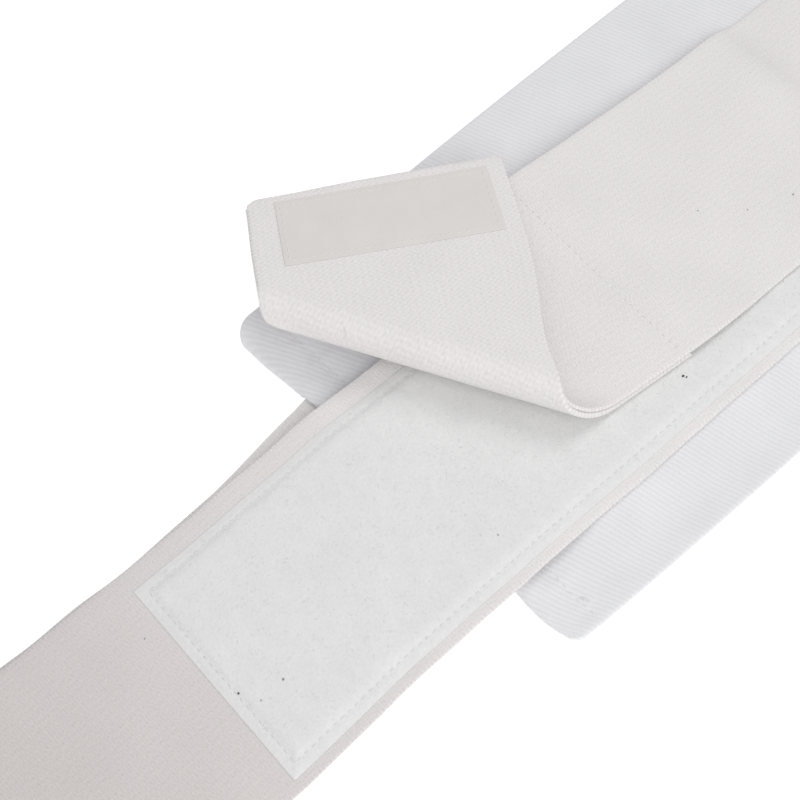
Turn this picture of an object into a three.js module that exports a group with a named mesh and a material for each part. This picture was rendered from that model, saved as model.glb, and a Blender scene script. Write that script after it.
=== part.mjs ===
// A catheter belt for peritoneal dialysis, closed into a flattened loop and lying on its pouch.
// Millimetres, +Z up. The origin is the centre of the pouch's flat underside, +X runs along the
// belt towards the hook strap's end of the pouch, and +Y is the side of the pocket's mouth.
import * as THREE from 'three';

// Cloth thicknesses, and the gap between layers that lie on each other
const twillThickness = 1.2;
const elasticThickness = 1.4;
const loopPileThickness = 1.6;
const hookTapeThickness = 1.4;
const layerGap = 0.3;

// Pouch of two twill panels, with the pocket between them
const pouchLength = 260;
const pouchWidth = 146;
const pouchCornerRadius = 7;
const pocketHeight = 5;
const hemWidth = 12;
const hemRiseLength = 22;
const hemStep = 1;
const nearSeamWidth = 6;
const nearSeamRiseLength = 20;

// Both straps, and where their ends are sewn into the hems
const strapWidth = 80;
const strapHemOffset = -2.5;
const strapSeatLength = 10;
const strapDropRadius = 12;

// Their folds at the ends of the flattened loop, and the climb back onto the pouch
const strapFoldRadius = 2.95;
const strapClimbRadius = 100;
const strapClimbMargin = 3;

// Strap that carries the loop pile: it leaves the left hem, folds back and lies on the pouch
const loopReach = 170;
const loopLowerOffset = -6.5;
const loopDriftLength = 45;
const loopTopOffset = -10.7;
const loopSkewLength = 60;
const loopEndInset = 88;

// Loop pile panel, sewn on the outer face of that strap
const loopPanelWidth = 70;
const loopPanelLength = 250;
const loopPanelEndMargin = 4;
const loopPanelOffset = -1.8;
const loopPanelEndSkew = 4;

// Strap that carries the hook tape: it leaves the right hem, folds back and lies on top
const hookReach = 40;
const hookStepRadius = 20;
const hookStepMargin = 2;
const hookTopOffset = 2;
const hookTopDrift = 6.7;
const hookDriftPower = 2.5;

// Its end, doubled from a seam onwards and turned back along a slanting fold, where it rises
// slowly and then turns over tightly
const foldInset = 63.8;
const foldAngle = THREE.MathUtils.degToRad(117.4);
const foldRiseAngle = THREE.MathUtils.degToRad(75);
const foldRiseRadiusNear = 12.9;
const foldRiseRadiusFar = 14.3;
const foldTurnRadiusNear = 4;
const foldTurnRadiusFar = 3.9;
const flapSlopeNear = THREE.MathUtils.degToRad(7.4);
const flapSlopeFar = THREE.MathUtils.degToRad(8.6);
const flapLength = 112.3;
const doubledLength = 137.6;
const seamStepRadius = 12;
const facingSideOffset = -0.4;

// Near edge drawn in beside the fold: how far, where past the fold, and how far this reaches
const edgeDrawIn = 4.5;
const edgeDrawPlace = 33;
const edgeDrawLength = 23;
const edgeDrawWidth = 24;

// Hook tape across that end
const hookTapeWidth = 25;
const hookTapeLength = 66;
const hookTapeEndMargin = 3;
const hookTapeSideOffset = -2;

// Fineness of the facets
const arcStep = 0.2;
const longestRow = 45;
const strapColumns = 4;
const foldRows = 14;
const fanRows = 8;
const flapRows = 7;
const flapColumns = 8;
const cornerRows = 4;

// Heights of the layers above the surface that the belt lies on
const halfElastic = elasticThickness / 2;
const hemStrapHeight = twillThickness + layerGap + halfElastic;
const hemUnderside = hemStrapHeight + halfElastic + layerGap;
const pouchTop = twillThickness + pocketHeight + twillThickness;
const loopStrapHeight = pouchTop + layerGap + halfElastic;
const pileUnderside = loopStrapHeight + halfElastic + layerGap;
const closureHeight = pileUnderside + loopPileThickness + layerGap + halfElastic;
const doubledHeight = closureHeight + elasticThickness + layerGap;

const halfLength = pouchLength / 2;
const halfWidth = pouchWidth / 2;
const halfStrap = strapWidth / 2;

const lerp = THREE.MathUtils.lerp;
const smooth = (share) => THREE.MathUtils.smoothstep(share, 0, 1);

// A closed solid between two faces, each a grid of points given by row and column
function sheetBetween(rows, columns, lowerAt, upperAt) {
  const positions = [];
  const index = [];
  for (const pointAt of [lowerAt, upperAt]) {
    for (let row = 0; row <= rows; row += 1) {
      for (let column = 0; column <= columns; column += 1) {
        positions.push(...pointAt(row, column).toArray());
      }
    }
  }
  const faceSize = (rows + 1) * (columns + 1);
  const lower = (row, column) => row * (columns + 1) + column;
  const upper = (row, column) => faceSize + lower(row, column);
  const quad = (a, b, c, d) => index.push(a, b, c, a, c, d);
  for (let row = 0; row < rows; row += 1) {
    for (let column = 0; column < columns; column += 1) {
      quad(upper(row, column), upper(row + 1, column), upper(row + 1, column + 1), upper(row, column + 1));
      quad(lower(row, column), lower(row, column + 1), lower(row + 1, column + 1), lower(row + 1, column));
    }
    quad(lower(row, 0), lower(row + 1, 0), upper(row + 1, 0), upper(row, 0));
    quad(upper(row, columns), upper(row + 1, columns), lower(row + 1, columns), lower(row, columns));
  }
  for (let column = 0; column < columns; column += 1) {
    quad(upper(0, column), upper(0, column + 1), lower(0, column + 1), lower(0, column));
    quad(lower(rows, column), lower(rows, column + 1), upper(rows, column + 1), upper(rows, column));
  }
  const geometry = new THREE.BufferGeometry();
  geometry.setAttribute('position', new THREE.Float32BufferAttribute(positions, 3));
  geometry.setIndex(signedVolume(positions, index) < 0 ? index.reverse() : index);
  geometry.computeVertexNormals();
  return geometry;
}

// Volume inside a triangle mesh, negative where its faces point inwards
function signedVolume(positions, index) {
  const corner = (place) => new THREE.Vector3().fromArray(positions, 3 * index[place]);
  let volume = 0;
  for (let place = 0; place < index.length; place += 3) {
    volume += corner(place).dot(corner(place + 1).cross(corner(place + 2))) / 6;
  }
  return volume;
}

// A strap's side profile: straight runs and arcs, each starting where the last one ends.
// "out" counts away from the pouch's end, and heading 0 points out, PI back in.
class StrapProfile {
  constructor(out, height) {
    this.steps = [];
    this.length = 0;
    this.end = { out, height, heading: 0 };
  }

  add(run, turn) {
    this.steps.push({ start: this.end, from: this.length, run, turn });
    this.length += run;
    this.end = this.at(this.length);
    return this;
  }

  arc(radius, turn) {
    return this.add(radius * Math.abs(turn), turn);
  }

  levelTo(out) {
    return this.add(Math.abs(out - this.end.out), 0);
  }

  // Two arcs of one radius that lift the strap, or lower it where the rise is negative
  ease(rise, radius) {
    const angle = Math.acos(1 - Math.abs(rise) / (2 * radius));
    const side = Math.sign(rise) * Math.cos(this.end.heading);
    return this.arc(radius, side * angle).arc(radius, -side * angle);
  }

  // The fold at the loop's end, the level way back and the climb onto the pouch
  foldBack(reach, topHeight) {
    this.levelTo(reach - strapFoldRadius);
    this.foldMiddle = this.length + strapFoldRadius * Math.PI / 2;
    this.arc(strapFoldRadius, Math.PI);
    const climb = topHeight - this.end.height;
    this.levelTo(strapClimbMargin + easeSpan(climb, strapClimbRadius));
    return this.ease(climb, strapClimbRadius);
  }

  at(distance) {
    const step = this.steps.findLast(({ from }) => from <= distance) ?? this.steps[0];
    const { out, height, heading } = step.start;
    const along = distance - step.from;
    if (step.turn === 0) {
      return {
        out: out + along * Math.cos(heading),
        height: height + along * Math.sin(heading),
        heading,
      };
    }
    const radius = step.run / step.turn;
    const turned = heading + along / radius;
    return {
      out: out + radius * (Math.sin(turned) - Math.sin(heading)),
      height: height - radius * (Math.cos(turned) - Math.cos(heading)),
      heading: turned,
    };
  }

  // Distances of the facet rows between two places, closer together on the arcs
  rows(from, to) {
    const places = [from];
    for (const step of this.steps) {
      const low = Math.max(step.from, from);
      const high = Math.min(step.from + step.run, to);
      const span = high - low;
      if (span <= 0) {
        continue;
      }
      const turns = Math.abs(step.turn) * span / step.run / arcStep;
      const count = Math.ceil(Math.max(turns, span / longestRow));
      for (let k = 1; k <= count; k += 1) {
        places.push(low + span * k / count);
      }
    }
    return places;
  }
}

// Loop strap's profile, centre line and points
const loopProfile = new StrapProfile(-strapSeatLength, hemStrapHeight)
  .levelTo(0)
  .ease(halfElastic - hemStrapHeight, strapDropRadius)
  .foldBack(loopReach, loopStrapHeight);
loopProfile.levelTo(loopEndInset - pouchLength);

// Sideways place of the strap's middle: it drifts on its way out, and again in the fold
function loopCentre(distance) {
  const drift = smooth((distance - strapSeatLength) / loopDriftLength);
  const skew = smooth((distance - loopProfile.foldMiddle) / loopSkewLength + 0.5);
  return lerp(lerp(strapHemOffset, loopLowerOffset, drift), loopTopOffset, skew);
}

function loopPoint(distance, across, lift) {
  const { out, height, heading } = loopProfile.at(distance);
  return new THREE.Vector3(
    -halfLength - out - lift * Math.sin(heading),
    loopCentre(distance) + across,
    height - lift * Math.cos(heading),
  );
}

// Hook strap's profile, as it would lie before its end is turned back
const hookProfile = new StrapProfile(-strapSeatLength, hemStrapHeight)
  .levelTo(0)
  .ease(halfElastic - hemStrapHeight, strapDropRadius)
  .foldBack(hookReach, loopStrapHeight);
const hookFoldEnd = hookProfile.length;
const pileRise = closureHeight - loopStrapHeight;
const seamRise = doubledHeight - closureHeight;
const flapEndOut = foldInset - pouchLength - flapLength;
const seamOut = flapEndOut + doubledLength;
hookProfile.levelTo(hookStepMargin - loopEndInset + easeSpan(pileRise, hookStepRadius));
hookProfile.ease(pileRise, hookStepRadius);
hookProfile.levelTo(seamOut + layerGap + easeSpan(seamRise, seamStepRadius));
hookProfile.ease(seamRise, seamStepRadius);
hookProfile.levelTo(flapEndOut);
const hookEnd = hookProfile.length;
const seamDistance = hookEnd - doubledLength;

// Ground that an ease of this rise and radius covers
function easeSpan(rise, radius) {
  return 2 * radius * Math.sin(Math.acos(1 - rise / (2 * radius)));
}

// Place of a strap point in plan, before the end is turned back. The centre line leaves the hem
// at its offset, comes to the upper run's in the fold, and drifts sideways towards the end.
function hookPlan(distance, across) {
  const driftLength = hookEnd - flapLength;
  const share = distance / driftLength;
  const centre = lerp(strapHemOffset, hookTopOffset, smooth(distance / hookFoldEnd));
  const lean = Math.asin(hookTopDrift * hookDriftPower * share ** (hookDriftPower - 1) / driftLength);
  return new THREE.Vector2(
    halfLength + hookProfile.at(distance).out + across * Math.sin(lean),
    centre + hookTopDrift * share ** hookDriftPower + across * Math.cos(lean),
  );
}

// The slanting fold: a line in plan from the strap's near edge, and how far past it a point is
const foldLine = new THREE.Vector2(Math.cos(foldAngle), Math.sin(foldAngle));
const foldNormal = new THREE.Vector2(-Math.sin(foldAngle), Math.cos(foldAngle));
const foldStart = hookPlan(hookEnd - flapLength, -halfStrap);

function pastFold(distance, across) {
  return hookPlan(distance, across).sub(foldStart).dot(foldNormal);
}

// Profile over the fold at a place across the strap: the slow rise, the tight turn and the flap
function foldProfile(across) {
  const share = (across + halfStrap) / strapWidth;
  const turn = Math.PI + lerp(flapSlopeNear, flapSlopeFar, share);
  return new StrapProfile(0, 0)
    .arc(lerp(foldRiseRadiusNear, foldRiseRadiusFar, share), foldRiseAngle)
    .arc(lerp(foldTurnRadiusNear, foldTurnRadiusFar, share), turn - foldRiseAngle)
    .add(flapLength, 0);
}

// Distance past the fold at which its bend has turned through a share of its angle
function roundBend(across, share) {
  const [rise, turn] = foldProfile(across).steps;
  const angle = share * (rise.turn + turn.turn);
  const risen = Math.min(angle, rise.turn);
  return rise.run * risen / rise.turn + turn.run * (angle - risen) / turn.turn;
}

// How far a point of the doubled end is drawn in from the near edge
function drawnIn(across, past) {
  const fromEdge = Math.max(0, across + halfStrap) / edgeDrawWidth;
  const fromPlace = (past - edgeDrawPlace) / edgeDrawLength;
  return edgeDrawIn * Math.exp(-fromEdge - fromPlace ** 2);
}

function hookPoint(distance, across, lift) {
  const { height, heading } = hookProfile.at(distance);
  const doubled = distance > seamDistance;
  const inward = doubled ? drawnIn(across, pastFold(distance, across)) : 0;
  const plan = hookPlan(distance, across + inward);
  const past = doubled ? pastFold(distance, across + inward) : 0;
  if (past <= 0) {
    return new THREE.Vector3(plan.x + lift * Math.sin(heading), plan.y, height - lift * Math.cos(heading));
  }
  const bent = foldProfile(across).at(past);
  const outward = bent.out - lift * Math.sin(bent.heading);
  const raised = bent.height + lift * Math.cos(bent.heading);
  const along = plan.clone().sub(foldStart).dot(foldLine);
  const foot = foldStart.clone().addScaledVector(foldLine, along).addScaledVector(foldNormal, outward);
  return new THREE.Vector3(foot.x, foot.y, height + raised);
}

// Distance along the strap at which a line lengthwise lies this far past the fold
function distancePastFold(across, past) {
  let low = seamDistance;
  let high = hookEnd + strapWidth;
  for (let k = 0; k < 40; k += 1) {
    const middle = (low + high) / 2;
    if (pastFold(middle, across) < past) {
      low = middle;
    } else {
      high = middle;
    }
  }
  return low;
}

// Rows of the doubled end: they fan out from the square seam to the slant of the fold, follow
// the bend, and come square again at the end
function doubledRows(start) {
  const rows = [];
  for (let k = 0; k < fanRows; k += 1) {
    rows.push((across) => lerp(start, distancePastFold(across, 0), k / fanRows));
  }
  for (let k = 0; k <= foldRows; k += 1) {
    rows.push((across) => distancePastFold(across, roundBend(across, k / foldRows)));
  }
  for (let k = 1; k <= flapRows; k += 1) {
    rows.push((across) => lerp(distancePastFold(across, roundBend(across, 1)), hookEnd, k / flapRows));
  }
  return rows;
}

// A layer of a strap: rows are functions that give the distance for a place across
function strapLayer(pointAt, rows, columns, width, offset, lift, thickness) {
  const acrossAt = (column) => offset + width * (column / columns - 0.5);
  const faceAt = (level) => (row, column) => {
    const across = acrossAt(column);
    return pointAt(rows[row](across), across, level);
  };
  const half = thickness / 2;
  return sheetBetween(rows.length - 1, columns, faceAt(lift - half), faceAt(lift + half));
}

const squareRows = (places) => places.map((place) => () => place);

// Stations along the pouch where its ends are rounded, from the middle outwards
const cornerStations = [];
for (let k = 0; k <= cornerRows; k += 1) {
  const share = Math.sin(Math.PI / 2 * k / cornerRows);
  cornerStations.push(halfLength - pouchCornerRadius * (1 - share));
}

// The same with the hem, the rise to the pocket and its flat middle
const hemEdge = halfLength - hemWidth;
const riseStations = [1, 0.75, 0.5, 0.25, 0].map((share) => hemEdge - hemStep - hemRiseLength * share);
const backStations = [halfLength / 3, ...riseStations, hemEdge, ...cornerStations];

// Places across the back panel: seam, rise, the strap's edges in the hem and the mouth
const seatEdge = halfStrap + layerGap;
const seamEdge = -halfWidth + nearSeamWidth;
const backColumns = [
  -halfWidth,
  seamEdge,
  seamEdge + nearSeamRiseLength / 3,
  seamEdge + nearSeamRiseLength * 2 / 3,
  strapHemOffset - seatEdge - hemStep,
  strapHemOffset - seatEdge,
  strapHemOffset,
  strapHemOffset + seatEdge,
  strapHemOffset + seatEdge + hemStep,
  halfWidth,
];

// Narrows the part of a row that lies beyond the strap, so that the corners come out round
function pouchPlan(x, y) {
  const intoCorner = Math.max(0, Math.abs(x) - halfLength + pouchCornerRadius);
  const inset = pouchCornerRadius - Math.sqrt(Math.max(0, pouchCornerRadius ** 2 - intoCorner ** 2));
  const beyond = Math.abs(y - strapHemOffset) - seatEdge - hemStep;
  const side = Math.sign(y - strapHemOffset);
  const room = halfWidth - side * strapHemOffset - seatEdge - hemStep;
  return beyond > 0 ? y - side * inset * beyond / room : y;
}

function pouchPanel(halfStations, columns, lowerHeight, upperHeight) {
  const stations = [...halfStations.map((x) => -x).reverse(), ...halfStations];
  const faceAt = (heightAt) => (row, column) => {
    const x = stations[row];
    const y = columns[column];
    return new THREE.Vector3(x, pouchPlan(x, y), heightAt(x, y));
  };
  return sheetBetween(stations.length - 1, columns.length - 1, faceAt(lowerHeight), faceAt(upperHeight));
}

// Underside of the back panel: on the straps in the hems, low along the near seam, and lifted
// over the pocket
function pocketCeiling(x, y) {
  const pastHem = smooth((hemEdge - hemStep - Math.abs(x)) / hemRiseLength);
  const pastSeam = smooth((y - seamEdge) / nearSeamRiseLength);
  const overPocket = lerp(hemUnderside, twillThickness + pocketHeight, pastHem);
  return lerp(twillThickness + layerGap, overPocket, pastSeam);
}

// Beside the straps the cloth is turned under in the hems, so it reaches down to the front panel
function backUnderside(x, y) {
  const inHem = Math.abs(x) > hemEdge - hemStep / 2;
  const besideStrap = Math.abs(y - strapHemOffset) > seatEdge + hemStep / 2;
  return inHem && besideStrap ? twillThickness + layerGap : pocketCeiling(x, y);
}

const frontColumns = [-halfWidth, strapHemOffset, halfWidth];
const pouchFront = pouchPanel(cornerStations, frontColumns, () => 0, () => twillThickness);
const backTop = (x, y) => pocketCeiling(x, y) + twillThickness;
const pouchBack = pouchPanel(backStations, backColumns, backUnderside, backTop);

// Loop strap and its pile panel, whose left end is cut a little askew
const loopStrap = strapLayer(
  loopPoint,
  squareRows(loopProfile.rows(0, loopProfile.length)),
  strapColumns,
  strapWidth,
  0,
  0,
  elasticThickness,
);
const panelEnd = loopProfile.length - loopPanelEndMargin;
const panelPlaces = loopProfile.rows(panelEnd - loopPanelLength, panelEnd);
const panelRows = panelPlaces.map((place) => (across) => {
  const share = (panelEnd - place) / loopPanelLength;
  return place + loopPanelEndSkew * share * across / loopPanelWidth;
});
const loopPanel = strapLayer(
  loopPoint,
  panelRows,
  strapColumns,
  loopPanelWidth,
  loopPanelOffset,
  halfElastic + layerGap + loopPileThickness / 2,
  loopPileThickness,
);

// Hook strap with its turned-back end, the second layer under that end, and the hook tape
const facingStart = seamDistance + layerGap;
const hookStrap = strapLayer(
  hookPoint,
  [...squareRows(hookProfile.rows(0, seamDistance).slice(0, -1)), ...doubledRows(seamDistance)],
  flapColumns,
  strapWidth,
  0,
  0,
  elasticThickness,
);
const facingLift = -elasticThickness - layerGap;
const hookEndFacing = strapLayer(
  hookPoint,
  doubledRows(facingStart),
  flapColumns,
  strapWidth,
  facingSideOffset,
  facingLift,
  elasticThickness,
);
const tapeEnd = hookEnd - hookTapeEndMargin;
const hookStrip = strapLayer(
  hookPoint,
  squareRows([tapeEnd - hookTapeWidth, tapeEnd - hookTapeWidth / 2, tapeEnd]),
  flapColumns,
  hookTapeLength,
  hookTapeSideOffset,
  facingLift - halfElastic - layerGap - hookTapeThickness / 2,
  hookTapeThickness,
);

// Cloth finishes
const cloth = (color, roughness) => new THREE.MeshStandardMaterial({ color, roughness, metalness: 0 });
const twill = cloth(0xe2e2e8, 0.9);
const elastic = cloth(0xe6e2e0, 0.85);
const pile = cloth(0xdedede, 1);
const tape = cloth(0xd8d4d0, 0.6);

const belt = new THREE.Group();
const pieces = [
  { name: 'pouch_front', geometry: pouchFront, material: twill },
  { name: 'pouch_back', geometry: pouchBack, material: twill.clone() },
  { name: 'loop_strap', geometry: loopStrap, material: elastic },
  { name: 'loop_panel', geometry: loopPanel, material: pile },
  { name: 'hook_strap', geometry: hookStrap, material: elastic.clone() },
  { name: 'hook_end_facing', geometry: hookEndFacing, material: elastic.clone() },
  { name: 'hook_strip', geometry: hookStrip, material: tape },
];
for (const { name, geometry, material } of pieces) {
  const mesh = new THREE.Mesh(geometry, material);
  mesh.name = name;
  belt.add(mesh);
}

export default belt;
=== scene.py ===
"""The looks of a catheter belt that lies closed on its pouch. Metres, +Z up; shapes are worked out
in millimetres and turned into metres where a mesh is made."""
import math
import random

import bpy
import numpy as np
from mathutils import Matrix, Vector
from mathutils.bvhtree import BVHTree


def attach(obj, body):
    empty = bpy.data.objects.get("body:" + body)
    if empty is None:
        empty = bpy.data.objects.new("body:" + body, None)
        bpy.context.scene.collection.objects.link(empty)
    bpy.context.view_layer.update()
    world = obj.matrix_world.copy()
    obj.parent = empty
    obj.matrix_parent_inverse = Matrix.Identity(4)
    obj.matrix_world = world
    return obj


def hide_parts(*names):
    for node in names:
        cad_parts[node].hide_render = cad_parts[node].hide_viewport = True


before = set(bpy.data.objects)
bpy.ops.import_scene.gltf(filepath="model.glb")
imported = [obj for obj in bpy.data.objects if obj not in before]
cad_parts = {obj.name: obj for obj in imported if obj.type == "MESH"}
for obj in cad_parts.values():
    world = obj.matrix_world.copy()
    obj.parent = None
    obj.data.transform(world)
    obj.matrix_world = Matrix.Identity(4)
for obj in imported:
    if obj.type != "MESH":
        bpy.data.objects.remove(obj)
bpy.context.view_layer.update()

MM = 0.001

# Cloth thicknesses and the gap between layers
TWILL = 1.2
ELASTIC = 1.4
LOOP_PILE = 1.6
GAP = 0.3

# Pouch
POUCH_LENGTH = 260.0
POUCH_WIDTH = 146.0
POUCH_CORNER = 7.0
POCKET_HEIGHT = 5.0
HEM_WIDTH = 12.0
HEM_RISE = 22.0
HEM_STEP = 1.0
SEAM_WIDTH = 6.0
SEAM_RISE = 20.0

# Straps in the hems
STRAP_WIDTH = 80.0
HEM_OFFSET = -2.5
SEAT = 10.0
DROP_RADIUS = 12.0
FOLD_RADIUS = 2.95
CLIMB_RADIUS = 100.0
CLIMB_MARGIN = 3.0

# Loop strap and its pile panel
LOOP_REACH = 170.0
LOOP_LOWER_OFFSET = -6.5
LOOP_DRIFT = 45.0
LOOP_TOP_OFFSET = -10.7
LOOP_SKEW = 60.0
LOOP_END_INSET = 88.0
PANEL_WIDTH = 70.0
PANEL_LENGTH = 250.0
PANEL_MARGIN = 4.0
PANEL_OFFSET = -1.8
PANEL_SKEW = 4.0

# Hook strap, its doubled end and the slanting fold
HOOK_REACH = 40.0
HOOK_STEP_RADIUS = 20.0
HOOK_STEP_MARGIN = 2.0
HOOK_TOP_OFFSET = 2.0
HOOK_DRIFT = 6.7
HOOK_DRIFT_POWER = 2.5
FOLD_INSET = 63.8
FOLD_ANGLE = math.radians(117.4)
RISE_ANGLE = math.radians(75)
RISE_RADIUS_NEAR = 12.9
RISE_RADIUS_FAR = 14.3
TURN_RADIUS_NEAR = 4.0
TURN_RADIUS_FAR = 3.9
FLAP_SLOPE_NEAR = math.radians(7.4)
FLAP_SLOPE_FAR = math.radians(8.6)
FLAP_LENGTH = 112.3
DOUBLED_LENGTH = 137.6
SEAM_STEP_RADIUS = 12.0
FACING_OFFSET = -0.4
DRAW_IN = 4.5
DRAW_PLACE = 33.0
DRAW_LENGTH = 23.0
DRAW_WIDTH = 24.0
TAPE_WIDTH = 25.0
TAPE_LENGTH = 66.0
TAPE_MARGIN = 3.0
TAPE_OFFSET = -2.0

# Heights of the layers
HALF_ELASTIC = ELASTIC / 2
HEM_STRAP = TWILL + GAP + HALF_ELASTIC
HEM_UNDERSIDE = HEM_STRAP + HALF_ELASTIC + GAP
POUCH_TOP = TWILL + POCKET_HEIGHT + TWILL
LOOP_HEIGHT = POUCH_TOP + GAP + HALF_ELASTIC
CLOSURE_HEIGHT = LOOP_HEIGHT + HALF_ELASTIC + GAP + LOOP_PILE + GAP + HALF_ELASTIC
DOUBLED_HEIGHT = CLOSURE_HEIGHT + ELASTIC + GAP
HALF_LENGTH = POUCH_LENGTH / 2
HALF_WIDTH = POUCH_WIDTH / 2
HALF_STRAP = STRAP_WIDTH / 2
SEAT_EDGE = HALF_STRAP + GAP
HEM_EDGE = HALF_LENGTH - HEM_WIDTH
SEAM_EDGE = -HALF_WIDTH + SEAM_WIDTH

# Camera, found from the belt's straight edges in the photograph
CAMERA_AZIMUTH = math.radians(-43.14)
CAMERA_ELEVATION = math.radians(60.45)
CAMERA_DISTANCE = 0.66007
CAMERA_TARGET = Vector((0.01883 - HALF_LENGTH * MM, 0.01898, 0.0))
CAMERA_LENS = 100.76
CAMERA_SENSOR = 36.0

# Lights and floor
WORLD_LIGHT = 0.53
FLOOR_GLOW = 0.45
LIGHTS = (
    {"name": "overhead", "place": (0.2, 0.1, 0.8), "size": 0.5, "power": 1.35},
    {"name": "front", "place": (-0.35, -0.6, 0.7), "size": 0.8, "power": 2.9},
)
LIT_PLACE = Vector((-0.05, 0.0, 0.0))
FLOOR_HALF = 3.0
FLOOR_DROP = 0.0002
FLOOR_WHITE = 0.97


# Stage


def make_camera():
    data = bpy.data.cameras.new("camera")
    data.lens = CAMERA_LENS
    data.sensor_width = CAMERA_SENSOR
    data.clip_start = 0.01
    camera = bpy.data.objects.new("camera", data)
    bpy.context.scene.collection.objects.link(camera)
    back = Vector((
        math.sin(CAMERA_AZIMUTH) * math.cos(CAMERA_ELEVATION),
        -math.cos(CAMERA_AZIMUTH) * math.cos(CAMERA_ELEVATION),
        math.sin(CAMERA_ELEVATION),
    ))
    camera.location = CAMERA_TARGET + back * CAMERA_DISTANCE
    camera.rotation_mode = "QUATERNION"
    camera.rotation_quaternion = (-back).to_track_quat("-Z", "Y")
    bpy.context.scene.camera = camera


def make_light(name, place, size, power):
    data = bpy.data.lights.new(name, "AREA")
    data.shape = "DISK"
    data.size = size
    data.energy = power
    light = bpy.data.objects.new(name, data)
    bpy.context.scene.collection.objects.link(light)
    light.location = Vector(place)
    light.rotation_mode = "QUATERNION"
    light.rotation_quaternion = (LIT_PLACE - Vector(place)).to_track_quat("-Z", "Y")


def make_stage():
    world = bpy.data.worlds.new("studio")
    world.use_nodes = True
    background = world.node_tree.nodes["Background"]
    background.inputs["Color"].default_value = (1.0, 1.0, 1.0, 1.0)
    background.inputs["Strength"].default_value = WORLD_LIGHT
    bpy.context.scene.world = world
    bpy.context.scene.view_settings.view_transform = "Standard"
    for light in LIGHTS:
        make_light(**light)
    mesh = bpy.data.meshes.new("floor")
    sides = ((-1, -1), (1, -1), (1, 1), (-1, 1))
    corners = [(x * FLOOR_HALF, y * FLOOR_HALF, 0) for x, y in sides]
    mesh.from_pydata(corners, [], [(0, 1, 2, 3)])
    floor = bpy.data.objects.new("floor", mesh)
    bpy.context.scene.collection.objects.link(floor)
    floor.location.z = -FLOOR_DROP
    material = bpy.data.materials.new("floor_white")
    material.use_nodes = True
    shader = material.node_tree.nodes["Principled BSDF"]
    shader.inputs["Base Color"].default_value = (FLOOR_WHITE, FLOOR_WHITE, FLOOR_WHITE, 1.0)
    shader.inputs["Roughness"].default_value = 1.0
    shader.inputs["Specular IOR Level"].default_value = 0.0
    shader.inputs["Emission Color"].default_value = (1.0, 1.0, 1.0, 1.0)
    shader.inputs["Emission Strength"].default_value = FLOOR_GLOW
    mesh.materials.append(material)


# Shapes of the straps


def smooth(share):
    share = np.clip(share, 0.0, 1.0)
    return share * share * (3.0 - 2.0 * share)


def mix(low, high, share):
    return low + (high - low) * share


def bulge(place, height, middle, reach):
    """A round hump of this height at a middle, or a hollow where the height is below 0."""
    return height * np.exp(-(((place - middle) / reach) ** 2))


def ramp(place, height, start, span):
    """A smooth rise from 0 to this height over a span."""
    return height * smooth((place - start) / span)


class StrapProfile:
    """Straight runs and arcs in a strap's side view; heading 0 points away from the pouch."""

    def __init__(self, out, height):
        self.starts = []
        self.length = 0.0
        self.end = (out, height, 0.0)

    def add(self, run, turn):
        self.starts.append((self.length, *self.end, run, turn))
        self.length += run
        self.end = tuple(float(v[0]) for v in self.at(np.array([self.length])))
        return self

    def arc(self, radius, turn):
        return self.add(radius * abs(turn), turn)

    def level_to(self, out):
        return self.add(abs(out - self.end[0]), 0.0)

    def ease(self, rise, radius):
        angle = math.acos(1 - abs(rise) / (2 * radius))
        side = math.copysign(1, rise) * round(math.cos(self.end[2]))
        return self.arc(radius, side * angle).arc(radius, -side * angle)

    def fold_back(self, reach, top):
        self.level_to(reach - FOLD_RADIUS)
        self.fold_middle = self.length + FOLD_RADIUS * math.pi / 2
        self.arc(FOLD_RADIUS, math.pi)
        climb = top - self.end[1]
        self.level_to(CLIMB_MARGIN + ease_span(climb, CLIMB_RADIUS))
        return self.ease(climb, CLIMB_RADIUS)

    def at(self, distance):
        """Arrays of the place out, the height and the heading at these distances."""
        table = np.array(self.starts)
        step = np.clip(np.searchsorted(table[:, 0], distance, side="right") - 1, 0, len(table) - 1)
        start, out, height, heading, run, turn = (table[step, k] for k in range(6))
        along = distance - start
        straight = turn == 0
        radius = np.where(straight, 1.0, run / np.where(straight, 1.0, turn))
        turned = np.where(straight, heading, heading + along / radius)
        arc_out = out + radius * (np.sin(turned) - np.sin(heading))
        arc_height = height - radius * (np.cos(turned) - np.cos(heading))
        return (
            np.where(straight, out + along * np.cos(heading), arc_out),
            np.where(straight, height + along * np.sin(heading), arc_height),
            turned,
        )


def ease_span(rise, radius):
    return 2 * radius * math.sin(math.acos(1 - rise / (2 * radius)))


loop_profile = StrapProfile(-SEAT, HEM_STRAP).level_to(0.0)
loop_profile.ease(HALF_ELASTIC - HEM_STRAP, DROP_RADIUS)
loop_profile.fold_back(LOOP_REACH, LOOP_HEIGHT)
loop_profile.level_to(LOOP_END_INSET - POUCH_LENGTH)
LOOP_END = loop_profile.length

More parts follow.
